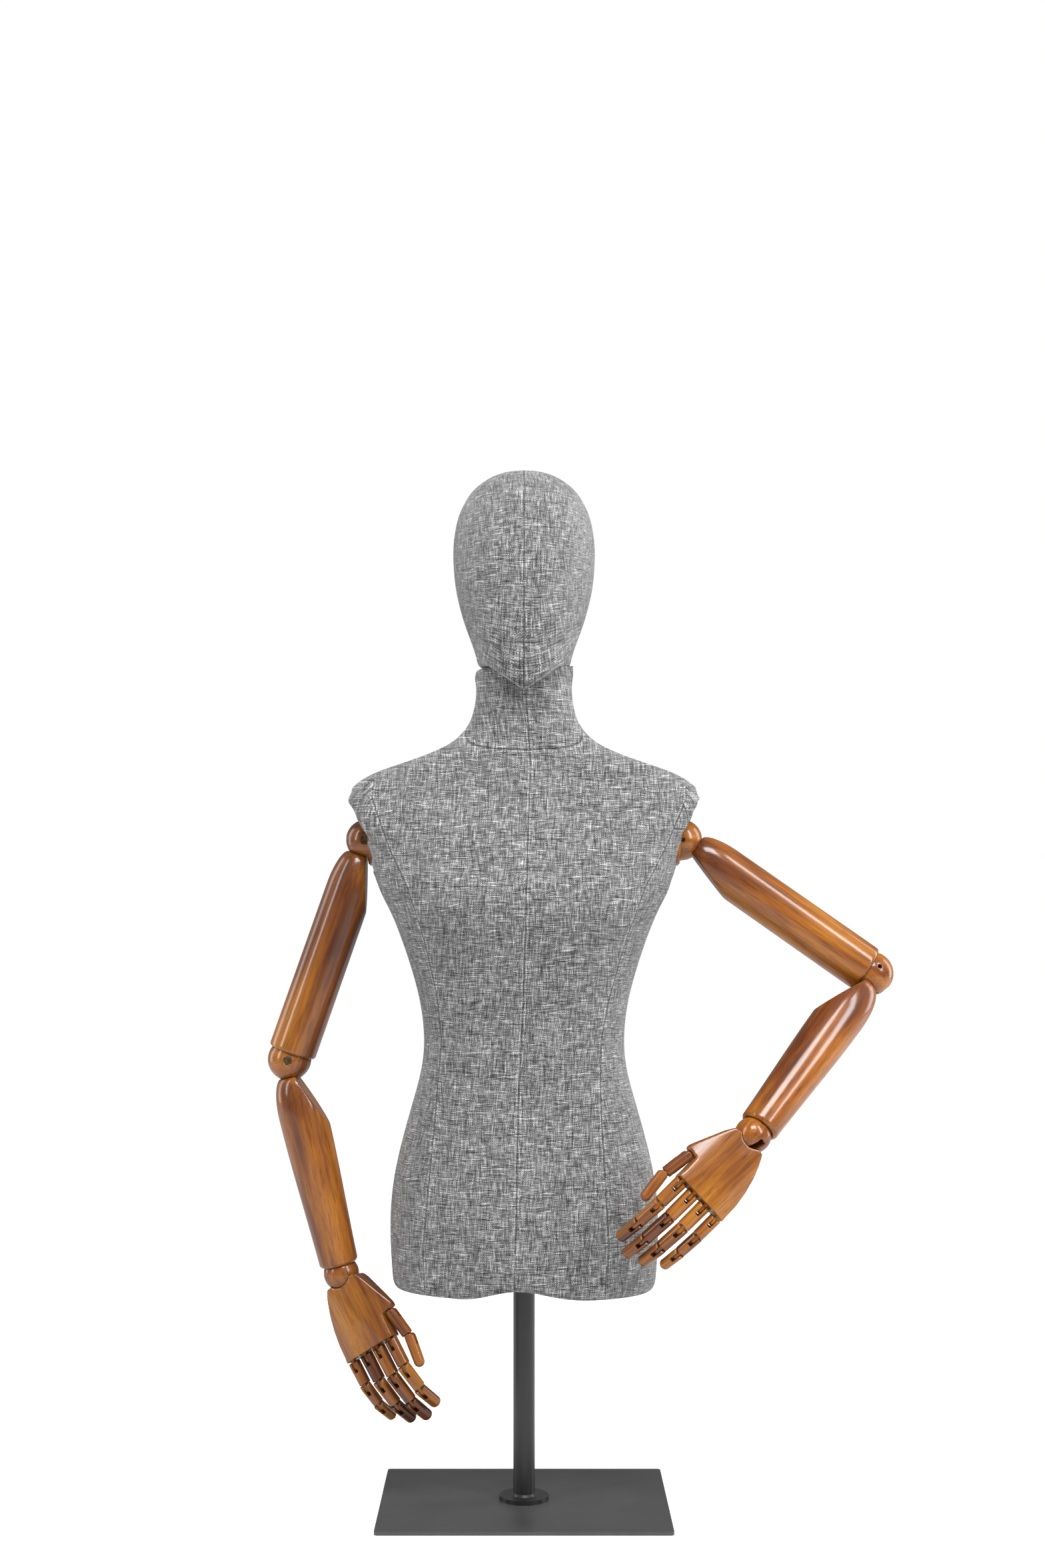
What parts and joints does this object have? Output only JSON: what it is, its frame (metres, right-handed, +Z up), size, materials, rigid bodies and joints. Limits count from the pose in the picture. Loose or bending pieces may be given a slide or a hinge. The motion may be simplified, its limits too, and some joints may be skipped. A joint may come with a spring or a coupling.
{
  "type": "wooden mannequin figure",
  "caption": "Headed display torso in grey cloth with jointed wooden arms and hands, standing on a dark pole and a flat rectangular base.",
  "frame": {"origin": "middle of the base plate's underside, on the pole's axis", "axes": "+Z up along the pole, -Y is the way the figure faces, +X is the figure's left side, which is on the viewer's right from the front"},
  "size_m": [0.7215, 0.2815, 1.1887],
  "materials": {
    "board": "plain board",
    "bush": "black nylon",
    "cloth": "woven linen melange, matt",
    "plate_grey": "satin dark grey",
    "pole_black": "satin black",
    "shell": "moulded body shell under the cloth",
    "steel": "bright screw heads",
    "wood": "orange-brown stain, gloss lacquer"
  },
  "bodies": {
    "stand": {"base_plate": "plate_grey", "pole_flange": "pole_black", "pole": "pole_black", "pole_bolt": "steel"},
    "slider": {"pole_bush": "bush"},
    "torso": {"torso_form": "shell", "torso_cover": "cloth", "bottom_board": "board", "pole_socket": "pole_black", "body_screws": "steel", "shoulder_discs": "wood", "neck_peg": "wood"},
    "clamp_screw": {"thumb_screw": "pole_black"},
    "head": {"head_form": "shell", "head_cover": "cloth"},
    "right_shoulder": {"right_shoulder_ball": "wood", "right_shoulder_screw": "steel"},
    "right_upper_arm": {"right_upper_arm": "wood"},
    "right_elbow": {"right_elbow_ball": "wood", "right_elbow_screw": "steel"},
    "right_forearm": {"right_forearm": "wood"},
    "right_wrist": {"right_wrist_ball": "wood"},
    "right_hand": {"right_palm": "wood"},
    "right_index_base": {"right_index_base": "wood"},
    "right_index_mid": {"right_index_mid": "wood"},
    "right_index_tip": {"right_index_tip": "wood"},
    "right_middle_base": {"right_middle_base": "wood"},
    "right_middle_mid": {"right_middle_mid": "wood"},
    "right_middle_tip": {"right_middle_tip": "wood"},
    "right_ring_base": {"right_ring_base": "wood"},
    "right_ring_mid": {"right_ring_mid": "wood"},
    "right_ring_tip": {"right_ring_tip": "wood"},
    "right_little_base": {"right_little_base": "wood"},
    "right_little_mid": {"right_little_mid": "wood"},
    "right_little_tip": {"right_little_tip": "wood"},
    "right_thumb_base": {"right_thumb_base": "wood"},
    "right_thumb_tip": {"right_thumb_tip": "wood"},
    "left_shoulder": {"left_shoulder_ball": "wood", "left_shoulder_screw": "steel"},
    "left_upper_arm": {"left_upper_arm": "wood"},
    "left_elbow": {"left_elbow_ball": "wood", "left_elbow_screw": "steel"},
    "left_forearm": {"left_forearm": "wood"},
    "left_wrist": {"left_wrist_ball": "wood"},
    "left_hand": {"left_palm": "wood"},
    "left_index_base": {"left_index_base": "wood"},
    "left_index_mid": {"left_index_mid": "wood"},
    "left_index_tip": {"left_index_tip": "wood"},
    "left_middle_base": {"left_middle_base": "wood"},
    "left_middle_mid": {"left_middle_mid": "wood"},
    "left_middle_tip": {"left_middle_tip": "wood"},
    "left_ring_base": {"left_ring_base": "wood"},
    "left_ring_mid": {"left_ring_mid": "wood"},
    "left_ring_tip": {"left_ring_tip": "wood"},
    "left_little_base": {"left_little_base": "wood"},
    "left_little_mid": {"left_little_mid": "wood"},
    "left_little_tip": {"left_little_tip": "wood"},
    "left_thumb_base": {"left_thumb_base": "wood"},
    "left_thumb_tip": {"left_thumb_tip": "wood"}
  },
  "joints": [
    {"name": "torso_height", "type": "slide", "parent": "stand", "child": "slider", "axis": [0, 0, 1], "range_m": [0, 0.12]},
    {"name": "torso_swivel", "type": "hinge", "parent": "slider", "child": "torso", "pos_m": [0, 0, 0.25], "axis": [0, 0, 1], "continuous": true},
    {"name": "clamp_turn", "type": "hinge", "parent": "torso", "child": "clamp_screw", "pos_m": [0, 0.02, 0.257], "axis": [0, 1, 0], "continuous": true},
    {"name": "head_turn", "type": "hinge", "parent": "torso", "child": "head", "pos_m": [0, 0, 0.96], "axis": [0, 0, 1], "range_deg": [-70, 70]},
    {"name": "right_shoulder_swing", "type": "hinge", "parent": "torso", "child": "right_shoulder", "pos_m": [-0.1815, 0, 0.764], "axis": [-1, 0, 0], "range_deg": [-15, 60]},
    {"name": "right_shoulder_lift", "type": "hinge", "parent": "right_shoulder", "child": "right_upper_arm", "pos_m": [-0.1815, 0, 0.764], "axis": [0, 1, 0], "range_deg": [0, 60]},
    {"name": "right_elbow_twist", "type": "hinge", "parent": "right_upper_arm", "child": "right_elbow", "pos_m": [-0.27052, 0, 0.51122], "axis": [0.3322, 0, 0.9432], "range_deg": [-90, 90]},
    {"name": "right_elbow_bend", "type": "hinge", "parent": "right_elbow", "child": "right_forearm", "pos_m": [-0.27052, 0, 0.51122], "axis": [0, -1, 0], "range_deg": [-33, 2]},
    {"name": "right_wrist_twist", "type": "hinge", "parent": "right_forearm", "child": "right_wrist", "pos_m": [-0.21079, 0, 0.26434], "axis": [-0.2351, 0, 0.972], "range_deg": [-90, 90]},
    {"name": "right_wrist_bend", "type": "hinge", "parent": "right_wrist", "child": "right_hand", "pos_m": [-0.21079, 0, 0.26434], "axis": [-0.7962, -0.5736, -0.1926], "range_deg": [-75, 30]},
    {"name": "left_shoulder_swing", "type": "hinge", "parent": "torso", "child": "left_shoulder", "pos_m": [0.1815, 0, 0.764], "axis": [-1, 0, 0], "range_deg": [0, 60]},
    {"name": "left_shoulder_lift", "type": "hinge", "parent": "left_shoulder", "child": "left_upper_arm", "pos_m": [0.1815, 0, 0.764], "axis": [0, -1, 0], "range_deg": [-25, 25]},
    {"name": "left_elbow_twist", "type": "hinge", "parent": "left_upper_arm", "child": "left_elbow", "pos_m": [0.40103, 0, 0.61028], "axis": [0.8192, 0, -0.5736], "range_deg": [-60, 3]},
    {"name": "left_elbow_bend", "type": "hinge", "parent": "left_elbow", "child": "left_forearm", "pos_m": [0.40103, 0, 0.61028], "axis": [-0.2514, 0.8988, -0.3591], "range_deg": [-95, 2]},
    {"name": "left_wrist_twist", "type": "hinge", "parent": "left_forearm", "child": "left_wrist", "pos_m": [0.25245, -0.11092, 0.43668], "axis": [-0.585, -0.4367, -0.6835], "range_deg": [-60, 60]},
    {"name": "left_wrist_bend", "type": "hinge", "parent": "left_wrist", "child": "left_hand", "pos_m": [0.25245, -0.11092, 0.43668], "axis": [0.476, 0.4974, -0.7252], "range_deg": [-60, 10]},
    {"name": "right_index_base_bend", "type": "hinge", "parent": "right_hand", "child": "right_index_base", "pos_m": [-0.14861, -0.04091, 0.19122], "axis": [0.7806, -0.3152, 0.5398], "range_deg": [-9, 75]},
    {"name": "right_index_mid_bend", "type": "hinge", "parent": "right_index_base", "child": "right_index_mid", "pos_m": [-0.13282, -0.0493, 0.16348], "axis": [0.7806, -0.3152, 0.5398], "range_deg": [-21, 60]},
    {"name": "right_index_tip_bend", "type": "hinge", "parent": "right_index_mid", "child": "right_index_tip", "pos_m": [-0.11451, -0.04651, 0.13863], "axis": [0.7806, -0.3152, 0.5398], "range_deg": [-23, 45]},
    {"name": "right_middle_base_bend", "type": "hinge", "parent": "right_hand", "child": "right_middle_base", "pos_m": [-0.1629, -0.03514, 0.18134], "axis": [0.7806, -0.3152, 0.5398], "range_deg": [-9, 75]},
    {"name": "right_middle_mid_bend", "type": "hinge", "parent": "right_middle_base", "child": "right_middle_mid", "pos_m": [-0.14567, -0.0443, 0.15108], "axis": [0.7806, -0.3152, 0.5398], "range_deg": [-21, 60]},
    {"name": "right_middle_tip_bend", "type": "hinge", "parent": "right_middle_mid", "child": "right_middle_tip", "pos_m": [-0.12499, -0.04115, 0.12302], "axis": [0.7806, -0.3152, 0.5398], "range_deg": [-23, 45]},
    {"name": "right_ring_base_bend", "type": "hinge", "parent": "right_hand", "child": "right_ring_base", "pos_m": [-0.17718, -0.02937, 0.17146], "axis": [0.7806, -0.3152, 0.5398], "range_deg": [-9, 75]},
    {"name": "right_ring_mid_bend", "type": "hinge", "parent": "right_ring_base", "child": "right_ring_mid", "pos_m": [-0.16139, -0.03777, 0.14373], "axis": [0.7806, -0.3152, 0.5398], "range_deg": [-21, 60]},
    {"name": "right_ring_tip_bend", "type": "hinge", "parent": "right_ring_mid", "child": "right_ring_tip", "pos_m": [-0.14249, -0.03488, 0.11807], "axis": [0.7806, -0.3152, 0.5398], "range_deg": [-23, 45]},
    {"name": "right_little_base_bend", "type": "hinge", "parent": "right_hand", "child": "right_little_base", "pos_m": [-0.19146, -0.0236, 0.16158], "axis": [0.7806, -0.3152, 0.5398], "range_deg": [-9, 75]},
    {"name": "right_little_mid_bend", "type": "hinge", "parent": "right_little_base", "child": "right_little_mid", "pos_m": [-0.17807, -0.03073, 0.13805], "axis": [0.7806, -0.3152, 0.5398], "range_deg": [-21, 60]},
    {"name": "right_little_tip_bend", "type": "hinge", "parent": "right_little_mid", "child": "right_little_tip", "pos_m": [-0.16271, -0.02838, 0.11721], "axis": [0.7806, -0.3152, 0.5398], "range_deg": [-23, 45]},
    {"name": "right_thumb_base_open", "type": "hinge", "parent": "right_hand", "child": "right_thumb_base", "pos_m": [-0.14874, -0.03316, 0.22286], "axis": [-0.3622, -0.932, 0.0153], "range_deg": [-2, 25]},
    {"name": "right_thumb_tip_open", "type": "hinge", "parent": "right_thumb_base", "child": "right_thumb_tip", "pos_m": [-0.12827, -0.04154, 0.19704], "axis": [-0.3622, -0.932, 0.0153], "range_deg": [-10, 18]},
    {"name": "left_index_base_bend", "type": "hinge", "parent": "left_hand", "child": "left_index_base", "pos_m": [0.16702, -0.14203, 0.38549], "axis": [0.6848, 0.0237, -0.7283], "range_deg": [-15, 65]},
    {"name": "left_index_mid_bend", "type": "hinge", "parent": "left_index_base", "child": "left_index_mid", "pos_m": [0.14326, -0.14632, 0.36301], "axis": [0.6848, 0.0237, -0.7283], "range_deg": [-16, 60]},
    {"name": "left_index_tip_bend", "type": "hinge", "parent": "left_index_mid", "child": "left_index_tip", "pos_m": [0.12085, -0.14171, 0.34209], "axis": [0.6848, 0.0237, -0.7283], "range_deg": [-16, 45]},
    {"name": "left_middle_base_bend", "type": "hinge", "parent": "left_hand", "child": "left_middle_base", "pos_m": [0.17956, -0.1416, 0.37217], "axis": [0.6848, 0.0237, -0.7283], "range_deg": [-15, 65]},
    {"name": "left_middle_mid_bend", "type": "hinge", "parent": "left_middle_base", "child": "left_middle_mid", "pos_m": [0.15363, -0.14627, 0.34763], "axis": [0.6848, 0.0237, -0.7283], "range_deg": [-16, 60]},
    {"name": "left_middle_tip_bend", "type": "hinge", "parent": "left_middle_mid", "child": "left_middle_tip", "pos_m": [0.12833, -0.14107, 0.32401], "axis": [0.6848, 0.0237, -0.7283], "range_deg": [-16, 45]},
    {"name": "left_ring_base_bend", "type": "hinge", "parent": "left_hand", "child": "left_ring_base", "pos_m": [0.19209, -0.14117, 0.35884], "axis": [0.6848, 0.0237, -0.7283], "range_deg": [-15, 65]},
    {"name": "left_ring_mid_bend", "type": "hinge", "parent": "left_ring_base", "child": "left_ring_mid", "pos_m": [0.16832, -0.14545, 0.33635], "axis": [0.6848, 0.0237, -0.7283], "range_deg": [-16, 60]},
    {"name": "left_ring_tip_bend", "type": "hinge", "parent": "left_ring_mid", "child": "left_ring_tip", "pos_m": [0.14519, -0.14069, 0.31476], "axis": [0.6848, 0.0237, -0.7283], "range_deg": [-16, 45]},
    {"name": "left_little_base_bend", "type": "hinge", "parent": "left_hand", "child": "left_little_base", "pos_m": [0.20462, -0.14073, 0.34551], "axis": [0.6848, 0.0237, -0.7283], "range_deg": [-15, 65]},
    {"name": "left_little_mid_bend", "type": "hinge", "parent": "left_little_base", "child": "left_little_mid", "pos_m": [0.18445, -0.14436, 0.32643], "axis": [0.6848, 0.0237, -0.7283], "range_deg": [-16, 60]},
    {"name": "left_little_tip_bend", "type": "hinge", "parent": "left_little_mid", "child": "left_little_tip", "pos_m": [0.16566, -0.1405, 0.30888], "axis": [0.6848, 0.0237, -0.7283], "range_deg": [-16, 45]},
    {"name": "left_thumb_base_open", "type": "hinge", "parent": "left_hand", "child": "left_thumb_base", "pos_m": [0.17638, -0.13082, 0.41462], "axis": [-0.1248, 0.9862, -0.1085], "range_deg": [-2, 25]},
    {"name": "left_thumb_tip_open", "type": "hinge", "parent": "left_thumb_base", "child": "left_thumb_tip", "pos_m": [0.1494, -0.13643, 0.3947], "axis": [-0.1248, 0.9862, -0.1085], "range_deg": [-5, 15]}
  ]
}
